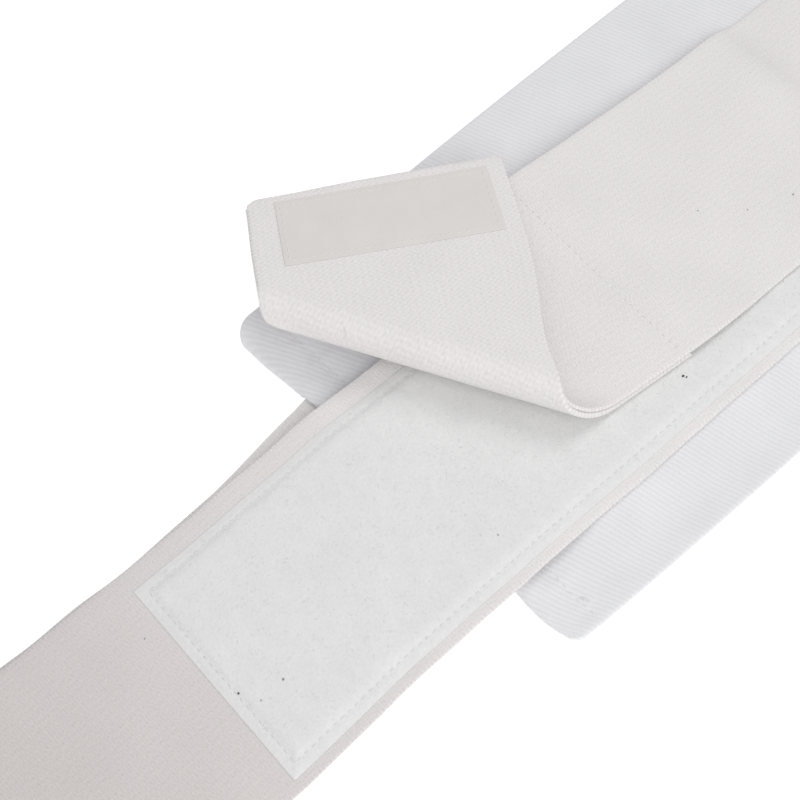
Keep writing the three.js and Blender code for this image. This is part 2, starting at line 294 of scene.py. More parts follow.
hook_profile = StrapProfile(-SEAT, HEM_STRAP).level_to(0.0)
hook_profile.ease(HALF_ELASTIC - HEM_STRAP, DROP_RADIUS)
hook_profile.fold_back(HOOK_REACH, LOOP_HEIGHT)
HOOK_FOLD_END = hook_profile.length
PILE_RISE = CLOSURE_HEIGHT - LOOP_HEIGHT
SEAM_RISE_UP = DOUBLED_HEIGHT - CLOSURE_HEIGHT
FLAP_END_OUT = FOLD_INSET - POUCH_LENGTH - FLAP_LENGTH
hook_profile.level_to(HOOK_STEP_MARGIN - LOOP_END_INSET + ease_span(PILE_RISE, HOOK_STEP_RADIUS))
hook_profile.ease(PILE_RISE, HOOK_STEP_RADIUS)
seam_foot = FLAP_END_OUT + DOUBLED_LENGTH + GAP + ease_span(SEAM_RISE_UP, SEAM_STEP_RADIUS)
hook_profile.level_to(seam_foot)
hook_profile.ease(SEAM_RISE_UP, SEAM_STEP_RADIUS)
hook_profile.level_to(FLAP_END_OUT)
HOOK_END = hook_profile.length
SEAM = HOOK_END - DOUBLED_LENGTH
DRIFT_LENGTH = HOOK_END - FLAP_LENGTH


def loop_centre(distance):
    drift = smooth((distance - SEAT) / LOOP_DRIFT)
    skew = smooth((distance - loop_profile.fold_middle) / LOOP_SKEW + 0.5)
    return mix(mix(HEM_OFFSET, LOOP_LOWER_OFFSET, drift), LOOP_TOP_OFFSET, skew)


def loop_point(distance, across, lift):
    out, height, heading = loop_profile.at(distance)
    centre = loop_centre(distance)
    x = -HALF_LENGTH - out - lift * np.sin(heading)
    return np.stack([x, centre + across, height - lift * np.cos(heading)], axis=-1)


def hook_plan(distance, across):
    """Place in plan of the hook strap's points before its end is turned back."""
    share = distance / DRIFT_LENGTH
    centre = mix(HEM_OFFSET, HOOK_TOP_OFFSET, smooth(distance / HOOK_FOLD_END))
    centre = centre + HOOK_DRIFT * share**HOOK_DRIFT_POWER
    lean = np.arcsin(HOOK_DRIFT * HOOK_DRIFT_POWER * share ** (HOOK_DRIFT_POWER - 1) / DRIFT_LENGTH)
    x = HALF_LENGTH + hook_profile.at(distance)[0] + across * np.sin(lean)
    return np.stack([x, centre + across * np.cos(lean)], axis=-1)


fold_line = np.array([math.cos(FOLD_ANGLE), math.sin(FOLD_ANGLE)])
fold_normal = np.array([-math.sin(FOLD_ANGLE), math.cos(FOLD_ANGLE)])
fold_start = hook_plan(np.array(DRIFT_LENGTH), np.array(-HALF_STRAP))


def past_fold(distance, across):
    return (hook_plan(distance, across) - fold_start) @ fold_normal


def fold_bend(across):
    """The slow rise and the tight turn of the fold: radius, angle, radius and angle."""
    share = (across + HALF_STRAP) / STRAP_WIDTH
    rise = mix(RISE_RADIUS_NEAR, RISE_RADIUS_FAR, share)
    turn = mix(TURN_RADIUS_NEAR, TURN_RADIUS_FAR, share)
    angle = math.pi + mix(FLAP_SLOPE_NEAR, FLAP_SLOPE_FAR, share) - RISE_ANGLE
    return rise, turn, angle


def round_bend(across, share):
    """Distance past the fold at which its bend has turned through a share of its angle."""
    rise, turn, angle = fold_bend(across)
    reached = share * (RISE_ANGLE + angle)
    risen = np.minimum(reached, RISE_ANGLE)
    return rise * risen + turn * (reached - risen)


def drawn_in(across, past):
    from_edge = np.maximum(0.0, across + HALF_STRAP) / DRAW_WIDTH
    return DRAW_IN * np.exp(-from_edge - ((past - DRAW_PLACE) / DRAW_LENGTH) ** 2)


def hook_point(distance, across, lift):
    out, height, heading = hook_profile.at(distance)
    doubled = distance > SEAM
    inward = np.where(doubled, drawn_in(across, past_fold(distance, across)), 0.0)
    plan = hook_plan(distance, across + inward)
    past = np.where(doubled, (plan - fold_start) @ fold_normal, 0.0)
    flat_x = plan[..., 0] + lift * np.sin(heading)
    flat = np.stack([flat_x, plan[..., 1], height - lift * np.cos(heading)], axis=-1)
    rise, turn, angle = fold_bend(across)
    risen = np.clip(past / rise, 0.0, RISE_ANGLE)
    turned = np.clip((past - rise * RISE_ANGLE) / turn, 0.0, angle)
    beyond = np.maximum(0.0, past - rise * RISE_ANGLE - turn * angle)
    heading = risen + turned
    outward = rise * np.sin(risen) + turn * (np.sin(heading) - np.sin(risen))
    outward = outward + beyond * np.cos(heading) - lift * np.sin(heading)
    raised = rise * (1 - np.cos(risen)) + turn * (np.cos(risen) - np.cos(heading))
    raised = raised + beyond * np.sin(heading) + lift * np.cos(heading)
    along = (plan - fold_start) @ fold_line
    foot = fold_start + along[..., None] * fold_line + outward[..., None] * fold_normal
    bent = np.concatenate([foot, (height + raised)[..., None]], axis=-1)
    return np.where((past > 0.0)[..., None], bent, flat)


def distance_past_fold(across, past):
    low = np.full_like(across, SEAM)
    high = np.full_like(across, HOOK_END + STRAP_WIDTH)
    for _ in range(40):
        middle = (low + high) / 2
        short = past_fold(middle, across) < past
        low = np.where(short, middle, low)
        high = np.where(short, high, middle)
    return low


# Cloth meshes

RIM_SHARES = (0.0, 0.08, 0.3, 0.62)
CLOSEST_STATIONS = 0.03
CONTACT = 0.04
STITCH_PITCH = 2.7
STITCH_LENGTH = 2.0
STITCH_LEAN = 0.14
STITCH_ARCH = (-0.2, 0.03, 0.1, 0.03, -0.2)
THREAD_RADII = (0.1, 0.19, 0.2, 0.19, 0.1)


def stations(low, high, spacing, edge, marks=(), fine=0.5, reach=2.0):
    """Places from low to high: close together where the rim is rounded and near marked lines."""
    count = max(2, round((high - low) / spacing))
    places = list(np.linspace(low + edge, high - edge, count))
    for share in RIM_SHARES:
        places += [low + edge * share, high - edge * share]
    for mark in marks:
        for offset in np.arange(-reach, reach + fine / 2, fine):
            if low + edge < mark + offset < high - edge:
                places.append(mark + offset)
    places = sorted(places)
    kept = [places[0]]
    for place in places[1:]:
        if place - kept[-1] > CLOSEST_STATIONS:
            kept.append(place)
    kept[-1] = high
    return np.array(kept)


def rim(places, low, high, edge):
    """How thick the cloth is at each place: round at its rims, 1 away from them."""
    inside = np.clip(np.minimum(places - low, high - places) / edge, 0.0, 1.0)
    return np.sqrt(np.maximum(0.0, 1.0 - (1.0 - inside) ** 2))


def make_mesh(name, points, faces, uv, materials, slots=None):
    """A piece from points in millimetres, with the flat cloth's places as its UV map."""
    mesh = bpy.data.meshes.new(name)
    mesh.from_pydata((points * MM).tolist(), [], faces)
    layer = mesh.uv_layers.new(name="Cloth")
    corners = np.empty(len(mesh.loops), dtype=np.int32)
    mesh.loops.foreach_get("vertex_index", corners)
    layer.data.foreach_set("uv", (uv * MM)[corners].astype(np.float32).ravel())
    for material in materials:
        mesh.materials.append(material)
    if slots is not None:
        mesh.polygons.foreach_set("material_index", slots)
    mesh.shade_smooth()
    mesh.update()
    piece = bpy.data.objects.new(name, mesh)
    bpy.context.scene.collection.objects.link(piece)
    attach(piece, "root")
    return piece


def quads(index):
    a, b, c, d = index[:-1, :-1], index[1:, :-1], index[1:, 1:], index[:-1, 1:]
    return np.stack([a, b, c, d], axis=-1).reshape(-1, 4)


def facing_in(points, faces):
    a, b, c, d = (points[faces[:, k]] for k in range(4))
    volume = np.einsum("ij,ij->", a, np.cross(b, c)) + np.einsum("ij,ij->", a, np.cross(c, d))
    return volume < 0


def closed_sheet(name, upper, lower, uv, materials):
    """A closed mesh of two grids of points that share their border."""
    rows, columns = upper.shape[:2]
    upper_index = np.arange(rows * columns).reshape(rows, columns)
    lower_index = upper_index.copy()
    inner = np.zeros((rows, columns), bool)
    inner[1:-1, 1:-1] = True
    lower_index[inner] = rows * columns + np.arange(inner.sum())
    border = ~inner
    points = np.concatenate([upper.reshape(-1, 3), lower[inner]])
    points[upper_index[border]] = (upper[border] + lower[border]) / 2
    top = quads(upper_index)
    faces = np.concatenate([top, quads(lower_index)[:, ::-1]])
    if facing_in(points, faces):
        faces = faces[:, ::-1]
    slots = np.zeros(len(faces), dtype=np.int32)
    slots[len(top):] = len(materials) - 1
    places = np.concatenate([uv.reshape(-1, 2), uv[inner]])
    return make_mesh(name, points, faces.tolist(), places, materials, slots)


def threads(name, ends, point, heights, radii, sides, material):
    """Short threads: ends holds each one's two flat places, heights its arch over the cloth."""
    shares = np.linspace(0, 1, len(heights))[None, :, None]
    flat = mix(ends[:, None, 0], ends[:, None, 1], shares)
    level = np.broadcast_to(heights, flat.shape[:2])
    centre = point(flat[..., 0], flat[..., 1], level)
    normal = point(flat[..., 0], flat[..., 1], level + 1.0) - centre
    normal /= np.linalg.norm(normal, axis=-1, keepdims=True)
    along = np.broadcast_to(centre[:, -1:] - centre[:, :1], centre.shape)
    side = np.cross(along, normal)
    side = side / np.linalg.norm(side, axis=-1, keepdims=True)
    angle = 2 * math.pi * np.arange(sides) / sides
    around = normal[:, :, None] * np.cos(angle)[:, None] + side[:, :, None] * np.sin(angle)[:, None]
    rings = centre[:, :, None] + np.asarray(radii)[None, :, None, None] * around
    one = np.arange(len(heights) * sides).reshape(len(heights), sides)
    tube = quads(np.concatenate([one, one[:, :1]], axis=1))[:, ::-1].tolist()
    caps = [one[0, ::-1].tolist(), one[-1].tolist()]
    faces = [[start + k for k in face] for start in range(0, len(ends) * one.size, one.size)
             for face in tube + caps]
    uv = np.repeat(flat[:, :, None], sides, axis=2)
    return make_mesh(name, rings.reshape(-1, 3), faces, uv.reshape(-1, 2), [material])


def waves(seed, u, v, longest, shortest, count=7):
    """A smooth field from -1 to 1 made of a few waves of random direction."""
    source = random.Random(seed)
    total = np.zeros(np.broadcast(u, v).shape)
    for _ in range(count):
        length = source.uniform(shortest, longest)
        angle = source.uniform(0, math.pi)
        phase = source.uniform(0, 2 * math.pi)
        total += np.sin(2 * math.pi * (u * math.cos(angle) + v * math.sin(angle)) / length + phase)
    return total / count


def level_at(level, distance, across):
    return level(distance, across) if callable(level) else np.full(distance.shape, level)


def strap_sheet(name, point, rows, across, low, high, edge, materials):
    """A layer between two lifts; rows holds the distance of each row at each place across."""
    wide = np.broadcast_to(across, rows.shape)
    middle = rows[:, rows.shape[1] // 2]
    round_end = rim(middle, middle[0], middle[-1], edge)[:, None]
    thick = np.minimum(rim(wide, across[0], across[-1], edge), round_end)
    bottom = level_at(low, rows, wide)
    top = level_at(high, rows, wide)
    centre = (bottom + top) / 2
    half = (top - bottom) / 2 * thick
    upper = point(rows, wide, centre + half)
    lower = point(rows, wide, centre - half)
    return closed_sheet(name, upper, lower, np.stack([rows, wide], axis=-1), materials)


# Seams


def stitch_line(start, end, seed):
    """The two ends of each stitch in a straight row between two flat places."""
    source = random.Random(seed)
    start, end = np.array(start, float), np.array(end, float)
    run = end - start
    length = np.linalg.norm(run)
    beside = np.array([-run[1], run[0]]) / length
    count = round(length / STITCH_PITCH)
    ends = []
    for k in range(count):
        middle = start + run * (k + 0.5) / count
        half = run / length * STITCH_LENGTH / 2 * source.uniform(0.88, 1.08)
        lean = beside * source.uniform(-STITCH_LEAN, STITCH_LEAN)
        ends.append([middle - half - lean, middle + half + lean])
    return np.array(ends)


def stitch_box(start, end, near, far, seed):
    """Rows of stitches round a rectangle of distances and places across."""
    corners = [(start, near), (start, far), (end, far), (end, near), (start, near)]
    rows = [stitch_line(a, b, seed + k) for k, (a, b) in enumerate(zip(corners, corners[1:]))]
    return np.concatenate(rows)


def stitches(name, ends, point, material):
    piece = threads(name, ends, point, STITCH_ARCH, THREAD_RADII, 6, material)
    return piece


# Materials

TWILL_COLOUR = (0.85, 0.85, 0.875)
ELASTIC_COLOUR = (0.875, 0.85, 0.842)
PILE_COLOUR = (0.86, 0.86, 0.86)
TAPE_COLOUR = (0.80, 0.77, 0.745)
THREAD_COLOUR = (0.85, 0.84, 0.845)
LINT_COLOUR = (0.06, 0.06, 0.065)
PALE_LINT_COLOUR = (0.36, 0.36, 0.37)
# Painted shade: a tint that darkens the loop strap where the light falls off towards the left, and
# the distances along the strap where it sets in, is full, starts to fade and is gone
PAINTED_FALLOFF_SHADE = (0.81, 0.785, 0.78)
PAINTED_SHADE_RUN = (90.0, 185.0, 225.0, 370.0)
TWILL_PITCH = 1.45 * MM
TWILL_SLANT = math.radians(20)
SELVEDGE = 39.6 * MM
RIB_PITCH = 1.0 * MM
CORD_PITCH = 2.2 * MM
SLANT_PITCH = 1.3 * MM
DOT_PITCH = 1.65 * MM
TICK_PITCH = 1.35 * MM
SELVEDGE_RAMP = 0.8 * MM
HOOK_PITCH = 0.9 * MM


class Nodes:
    """Short ways to add and join the nodes of one material."""

    def __init__(self, name):
        self.material = bpy.data.materials.new(name)
        self.material.use_nodes = True
        self.tree = self.material.node_tree
        self.shader = self.tree.nodes["Principled BSDF"]
        where = self.tree.nodes.new("ShaderNodeUVMap")
        where.uv_map = "Cloth"
        self.place = where.outputs["UV"]
        split = self.tree.nodes.new("ShaderNodeSeparateXYZ")
        self.link(self.place, split.inputs[0])
        self.u, self.v = split.outputs[0], split.outputs[1]

    def link(self, source, target):
        self.tree.links.new(source, target)

    def feed(self, socket, value):
        if isinstance(value, bpy.types.NodeSocket):
            self.link(value, socket)
        else:
            socket.default_value = value

    def math(self, operation, first, second=0.0, third=None):
        node = self.tree.nodes.new("ShaderNodeMath")
        node.operation = operation
        self.feed(node.inputs[0], first)
        self.feed(node.inputs[1], second)
        if third is not None:
            self.feed(node.inputs[2], third)
        return node.outputs[0]

    def blend(self, *parts):
        """The sum of values, each times its share."""
        total = 0.0
        for value, share in parts:
            total = self.math("MULTIPLY_ADD", value, share, total)
        return total

    def ridge(self, pitch_u, pitch_v, phase=0.0):
        """A wave from -1 to 1; pitches are in metres along u and v, 0 for none."""
        along = self.math("MULTIPLY", self.u, 2 * math.pi / pitch_u) if pitch_u else 0.0
        beside = self.math("MULTIPLY", self.v, 2 * math.pi / pitch_v) if pitch_v else 0.0
        return self.math("SINE", self.math("ADD", self.math("ADD", along, beside), phase))

    def noise(self, size, detail=2.0, roughness=0.5, stretch=(1.0, 1.0)):
        """Noise from 0 to 1 on the flat cloth, with features of this size in metres."""
        mapping = self.tree.nodes.new("ShaderNodeMapping")
        mapping.inputs["Scale"].default_value = (stretch[0] / size, stretch[1] / size, 1.0)
        self.link(self.place, mapping.inputs["Vector"])
        node = self.tree.nodes.new("ShaderNodeTexNoise")
        node.inputs["Scale"].default_value = 1.0
        node.inputs["Detail"].default_value = detail
        node.inputs["Roughness"].default_value = roughness
        self.link(mapping.outputs[0], node.inputs["Vector"])
        return node.outputs["Fac"]

    def remap(self, value, low, high, new_low, new_high):
        node = self.tree.nodes.new("ShaderNodeMapRange")
        self.feed(node.inputs["Value"], value)
        limits = {"From Min": low, "From Max": high, "To Min": new_low, "To Max": new_high}
        for socket, number in limits.items():
            node.inputs[socket].default_value = number
        return node.outputs["Result"]

    def colour(self, share, dark, light):
        node = self.tree.nodes.new("ShaderNodeMix")
        node.data_type = "RGBA"
        self.feed(node.inputs["Factor"], share)
        node.inputs["A"].default_value = (*dark, 1.0)
        node.inputs["B"].default_value = (*light, 1.0)
        self.link(node.outputs["Result"], self.shader.inputs["Base Color"])

    def tint(self, share, shade):
        """Multiplies the colour made so far by a shade, by the share of it at each place."""
        node = self.tree.nodes.new("ShaderNodeMix")
        node.data_type = "RGBA"
        node.blend_type = "MULTIPLY"
        base = self.shader.inputs["Base Color"]
        self.link(base.links[0].from_socket, node.inputs["A"])
        node.inputs["B"].default_value = (*shade, 1.0)
        self.link(share, node.inputs["Factor"])
        self.link(node.outputs["Result"], base)

    def bump(self, height, depth):
        node = self.tree.nodes.new("ShaderNodeBump")
        node.inputs["Distance"].default_value = depth
        self.link(height, node.inputs["Height"])
        self.link(node.outputs["Normal"], self.shader.inputs["Normal"])

    def finish(self, roughness, sheen=0.0):
        self.shader.inputs["Roughness"].default_value = roughness
        self.shader.inputs["Specular IOR Level"].default_value = 0.2
        if sheen:
            self.shader.inputs["Sheen Weight"].default_value = sheen
            self.shader.inputs["Sheen Roughness"].default_value = 0.5
        return self.material


def scaled(colour, factor):
    return tuple(part * factor for part in colour)


def twill_material():
    """Cotton twill: slanting ridges, with the yarns' own unevenness."""
    n = Nodes("cotton_twill")
    wobble = n.math("MULTIPLY", n.noise(4 * MM, 3.0), 1.6)
    pitch_u = TWILL_PITCH / math.cos(TWILL_SLANT)
    pitch_v = TWILL_PITCH / math.sin(TWILL_SLANT)
    ridge = n.ridge(pitch_u, pitch_v, wobble)
    yarn = n.noise(0.5 * MM, 3.0, 0.65, (1.0, 0.6))
    patch = n.noise(16 * MM, 3.0)
    tone = n.remap(n.blend((ridge, 0.11), (yarn, 0.5), (patch, 0.35)), 0.2, 0.65, 0.0, 1.0)
    n.colour(tone, scaled(TWILL_COLOUR, 0.92), scaled(TWILL_COLOUR, 1.06))
    n.bump(n.blend((ridge, 0.28), (yarn, 1.0)), 0.12 * MM)
    return n.finish(0.92, 0.1)


def elastic_material(name, under=False, painted_shade_run=None):
    """Woven elastic: fine ribs and cords, or its underside's dotted lattice; selvedge ticks.
    A run of painted shade, where given, holds four distances along the strap: between them a
    painted shade darkens it, standing in for the light falling off towards the left, and clears
    again."""
    n = Nodes(name)
    wander = n.math("MULTIPLY", n.noise(5 * MM, 2.0), 3.2)
    if under:
        cords = n.ridge(0.0, CORD_PITCH, wander)
        dots = n.math("MULTIPLY", n.ridge(DOT_PITCH, 0.0, wander), cords)
        weave = n.blend((dots, 1.0), (cords, 0.3))
    else:
        cords = n.ridge(0.0, CORD_PITCH)
        ribs = n.ridge(RIB_PITCH, 0.0, wander)
        slants = n.ridge(SLANT_PITCH, CORD_PITCH, wander)
        weave = n.blend((ribs, 0.5), (cords, 0.25), (slants, 0.3))
    yarn = n.noise(0.75 * MM, 3.0, 0.75)
    patch = n.noise(22 * MM, 2.0)
    edge = n.remap(n.math("ABSOLUTE", n.v), SELVEDGE - SELVEDGE_RAMP, SELVEDGE, 0.0, 1.0)
    ticks = n.math("MULTIPLY", edge, n.ridge(TICK_PITCH, 0.0))
    tone = n.blend((weave, 0.07), (yarn, 0.8), (patch, 0.2), (ticks, 0.12))
    tone = n.remap(tone, 0.26, 0.74, 0.0, 1.0)
    n.colour(tone, scaled(ELASTIC_COLOUR, 0.88), scaled(ELASTIC_COLOUR, 1.09))
    # Painted shade: darkens the strap along this run in place of the light's falloff towards the
    # left
    if painted_shade_run:
        shade_from, full, fading, shade_gone = (distance * MM for distance in painted_shade_run)
        shade_rising = n.remap(n.u, shade_from, full, 0.0, 1.0)
        shade_clearing = n.remap(n.u, fading, shade_gone, 1.0, 0.0)
        n.tint(n.math("MULTIPLY", shade_rising, shade_clearing), PAINTED_FALLOFF_SHADE)
    n.bump(n.blend((weave, 0.25), (yarn, 1.0), (ticks, 0.15)), 0.16 * MM)
    return n.finish(0.85, 0.1)


def pile_material():
    """Brushed loop pile: matted tufts of several sizes."""
    n = Nodes("loop_pile")
    tuft = n.noise(1.0 * MM, 4.0, 0.7)
    mat = n.noise(5 * MM, 3.0, 0.6, (1.0, 0.6))
    patch = n.noise(30 * MM, 2.0)
    tone = n.remap(n.blend((tuft, 0.5), (mat, 0.3), (patch, 0.2)), 0.3, 0.7, 0.0, 1.0)
    n.colour(tone, scaled(PILE_COLOUR, 0.92), scaled(PILE_COLOUR, 1.06))
    n.bump(n.blend((mat, 0.6), (tuft, 1.0)), 0.25 * MM)
    return n.finish(1.0, 0.2)


def tape_material():
    """Hook tape: a close square field of tiny hooks on a smooth ground."""
    n = Nodes("hook_tape")
    field = n.math("MULTIPLY", n.ridge(HOOK_PITCH, 0.0), n.ridge(0.0, HOOK_PITCH))
    patch = n.noise(12 * MM, 2.0)
    tone = n.blend((field, 0.05), (patch, 1.0))
    n.colour(n.remap(tone, 0.3, 0.8, 0.0, 1.0), scaled(TAPE_COLOUR, 0.97), scaled(TAPE_COLOUR, 1.02))
    n.bump(field, 0.03 * MM)
    return n.finish(0.6)


def fibre_material(name, dark, light):
    n = Nodes(name)
    fibre = n.noise(0.3 * MM, 2.0)
    n.colour(fibre, dark, light)
    return n.finish(0.8, 0.1)


# Pouch

HEM_STITCH = HALF_LENGTH - 11.0
NEAR_CORNER = 3.8
HEM_ROLL = 3.6
SEAM_ROLL = 1.8
END_WARP = 30.0
FAR_BOW = (2.4, 6.4, 60.0)
NEAR_BOW = (0.85, 1.9, 40.0)
END_LEAN = (2.5, 20.0, 17.0)
FAR_LEAN = (1.1, 38.0, 26.0)
NEAR_BULGE = (1.3, -60.0, 14.0)
NEAR_CUT_FROM = -62.0
NEAR_CUT_SPAN = 11.0
STITCH_DRAW = (-0.32, 0.0, 1.3)
HEM_SWELL = (0.4, 5.5, 3.2)
RIPPLE = 0.13
RIPPLE_REACH = 4.5
RIPPLE_LENGTHS = (5.1, 8.3)
RIPPLE_WANDER = 1.7
RIPPLE_WANDER_LENGTH = 11.0
EASE_END = 20.0
EASE_SIDE = 12.0
OPEN_CLOTH_FROM = 2.0
OPEN_CLOTH_SPAN = 8.0
POUCH_RELIEF = 0.45
POUCH_RELIEF_WAVES = (70.0, 26.0)
HEM_ROLL_RAMP = 1.2
SEAM_ROLL_RAMP = 0.8
FLOOR_DENT = (0.34, HEM_STITCH, 1.2)
POUCH_SPACING = 1.5
POUCH_SIDE_RIM = 0.9
FRONT_RIM = 0.6
HEM_STITCH_MARGIN = 3.0


def edge_bow(x, out, drawn, run):
    """How far a long edge lies outside its straight line; it draws in towards the left end."""
    return out - drawn * np.exp(-(x + HALF_LENGTH) / run)


def end_bulge(y):
    """How far the left end lies outside its straight line: it leans out to the far corner."""
    far = ramp(y, *END_LEAN) + ramp(y, *FAR_LEAN)
    near_cut = (np.maximum(0.0, NEAR_CUT_FROM - y) / NEAR_CUT_SPAN) ** 2
    return far + bulge(y, *NEAR_BULGE) - near_cut


def pouch_plan(x, y):
    side = np.sign(y - HEM_OFFSET)
    beyond = np.abs(y - HEM_OFFSET) - SEAT_EDGE - HEM_STEP
    room = HALF_WIDTH - side * HEM_OFFSET - SEAT_EDGE - HEM_STEP
    radius = np.where(side > 0, POUCH_CORNER, NEAR_CORNER)
    into = np.maximum(0.0, np.abs(x) - HALF_LENGTH + radius)
    inset = radius - np.sqrt(np.maximum(0.0, radius**2 - into**2))
    bow = np.where(side > 0, edge_bow(x, *FAR_BOW), edge_bow(x, *NEAR_BOW))
    left = smooth((END_WARP - HALF_LENGTH - x) / END_WARP)
    return x - left * end_bulge(y), y + side * np.clip(beyond / room, 0, 1) * (bow - inset)


def pocket_ceiling(x, y):
    past_hem = smooth((HEM_EDGE - HEM_STEP - np.abs(x)) / HEM_RISE)
    past_seam = smooth((y - SEAM_EDGE) / SEAM_RISE)
    over_pocket = mix(HEM_UNDERSIDE, TWILL + POCKET_HEIGHT, past_hem)
    return mix(TWILL + GAP, over_pocket, past_seam)


def beside_strap(y):
    return smooth((np.abs(y - HEM_OFFSET) - SEAT_EDGE) / HEM_STEP)


def hem_pucker(x, y):
    """The cloth is drawn in along the hem's stitches and swells between them and the rim."""
    from_line = np.abs(x) - HEM_STITCH
    short, long = (2 * math.pi * y / length for length in RIPPLE_LENGTHS)
    wander = RIPPLE_WANDER * np.sin(y / RIPPLE_WANDER_LENGTH)
    ripple = np.sin(short + wander) + np.sin(long)
    rippled = RIPPLE * ripple * bulge(from_line, 1.0, 0.0, RIPPLE_REACH)
    return bulge(from_line, *STITCH_DRAW) + bulge(from_line, *HEM_SWELL) + rippled


def pouch_top(x, y):
    slack = smooth((HEM_EDGE - np.abs(x)) / EASE_END) * smooth((HALF_WIDTH - np.abs(y)) / EASE_SIDE)
    past_strap = np.abs(y - LOOP_TOP_OFFSET) - HALF_STRAP
    open_cloth = smooth((past_strap - OPEN_CLOTH_FROM) / OPEN_CLOTH_SPAN)
    relief = POUCH_RELIEF * waves(11, x, y, *POUCH_RELIEF_WAVES) * slack * open_cloth
    return pocket_ceiling(x, y) + TWILL + hem_pucker(x, y) + relief


def pouch_under(x, y):
    """The upper panel's underside; its rolled ends and its sewn near edge come down to the floor."""
    in_hem = smooth((np.abs(x) - HEM_EDGE + HEM_STEP) / HEM_STEP)
    under = mix(pocket_ceiling(x, y), TWILL + GAP, in_hem * beside_strap(y))
    rolled = smooth((np.abs(x) - HALF_LENGTH + HEM_ROLL) / HEM_ROLL_RAMP) * beside_strap(y)
    sewn = smooth((-y - HALF_WIDTH + SEAM_ROLL) / SEAM_ROLL_RAMP)
    return mix(under, CONTACT, np.maximum(rolled, sewn))


def pouch_point(x, y, lift):
    return np.stack([*pouch_plan(x, y), pouch_top(x, y) + lift], axis=-1)


def floor_dent(x):
    return bulge(np.abs(x), *FLOOR_DENT)


def underside_point(x, y, lift):
    return np.stack([*pouch_plan(x, y), floor_dent(x) - lift], axis=-1)


def make_pouch(twill, thread):
    hem_lines = (-HEM_STITCH, HEM_STITCH)
    xs = stations(-HALF_LENGTH, HALF_LENGTH, POUCH_SPACING, HEM_ROLL, hem_lines)
    ys = stations(-HALF_WIDTH, HALF_WIDTH, POUCH_SPACING, SEAM_ROLL)
    x, y = np.meshgrid(xs, ys, indexing="ij")
    flat = np.stack([x, y], axis=-1)
    top, under = pouch_top(x, y), pouch_under(x, y)
    round_end = rim(x, -HALF_LENGTH, HALF_LENGTH, mix(TWILL, HEM_ROLL, beside_strap(y)))
    round_side = rim(y, -HALF_WIDTH, HALF_WIDTH, POUCH_SIDE_RIM)
    middle = (top + under) / 2
    half = (top - under) / 2 * np.minimum(round_end, round_side)
    plan = pouch_plan(x, y)
    upper = np.stack([*plan, middle + half], axis=-1)
    lower = np.stack([*plan, middle - half], axis=-1)
    back = closed_sheet("pouch_back_cloth", upper, lower, flat, [twill])
    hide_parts("pouch_back")

    near_end = smooth((np.abs(x) - HALF_LENGTH + EASE_END) / EASE_END)
    tucked_end = (HEM_ROLL + GAP) * beside_strap(y) * near_end
    tucked_side = (SEAM_ROLL + GAP) * smooth((-y - HALF_WIDTH + EASE_SIDE) / EASE_SIDE)
    plan = pouch_plan(x - np.sign(x) * tucked_end, y + tucked_side)
    round_end = rim(x, -HALF_LENGTH, HALF_LENGTH, FRONT_RIM)
    round_side = rim(y, -HALF_WIDTH, HALF_WIDTH, FRONT_RIM)
    half = TWILL / 2 * np.minimum(round_end, round_side)
    dent = floor_dent(x)
    upper = np.stack([*plan, TWILL / 2 + half], axis=-1)
    lower = np.stack([*plan, TWILL / 2 - half + dent], axis=-1)
    front = closed_sheet("pouch_front_cloth", upper, lower, flat, [twill])
    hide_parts("pouch_front")

    reach = HALF_WIDTH - HEM_STITCH_MARGIN
    lines = [stitch_line((x, -reach), (x, reach), 60 + k) for k, x in enumerate(hem_lines)]
    ends = np.concatenate(lines)
    top_row = stitches("pouch_hem_stitches", ends, pouch_point, thread)
    low_row = stitches("pouch_hem_stitches_below", ends, underside_point, thread)
    return back


# Straps

EDGE_WAVES = (70.0, 24.0, 6)
EDGE_SINK = 0.26
EDGE_SINK_REACH = 4.0


def square(places, across):
    return np.repeat(places[:, None], len(across), axis=1)


def edge_sway(seed, distance, across, size):
    """Small sideways waves of a strap's edges; the middle stays where it is."""
    still = np.zeros_like(distance)
    near = waves(seed, distance, still, *EDGE_WAVES)
    far = waves(seed + 1, distance, still, *EDGE_WAVES)
    return size * np.where(across < 0, near, far) * np.abs(across / HALF_STRAP) ** 3


def pressed_edge(across):
    """How far a strap's edges sink towards what they lie on."""
    return -EDGE_SINK * smooth((np.abs(across) - HALF_STRAP + EDGE_SINK_REACH) / EDGE_SINK_REACH)


# How the loop strap's edges leave their straight lines, at places counted out from the pouch
LOWER_WAIST = (2.0, 76.0, 28.0)
LOWER_NEAR_TUCK = 1.3
LOWER_NEAR_SPAN = 20.0
LOWER_FAR_TUCK = (1.2, 88.0, 25.0)
TOP_FAR_BULGE = (0.9, 14.0, 26.0)
TOP_FAR_TUCK = (0.5, 35.0, 45.0)
TOP_NEAR_TUCK = (2.3, 30.0, 60.0)
FOLD_BLEND = 20.0
LOOP_SWAY = 0.3


def loop_surface(distance, across, lift):
    """The loop strap as it lies: its runs a little askew, its lower run narrower."""
    out = loop_profile.at(distance)[0]
    upper = smooth((distance - loop_profile.fold_middle) / FOLD_BLEND + 0.5)
    far_share = smooth(across / HALF_STRAP)
    near_share = smooth(-across / HALF_STRAP)
    lower = -far_share * (bulge(out, *LOWER_WAIST) + ramp(out, *LOWER_FAR_TUCK))
    lower = lower + near_share * LOWER_NEAR_TUCK * smooth(out / LOWER_NEAR_SPAN)
    far_drift = bulge(out, *TOP_FAR_BULGE) - ramp(out, *TOP_FAR_TUCK)
    top = mix(-ramp(out, *TOP_NEAR_TUCK), far_drift, (across + HALF_STRAP) / STRAP_WIDTH)
    side = mix(lower, top, upper) + edge_sway(31, distance, across, LOOP_SWAY)
    sink = pressed_edge(across) * upper
    return loop_point(distance, across + side, lift + sink)


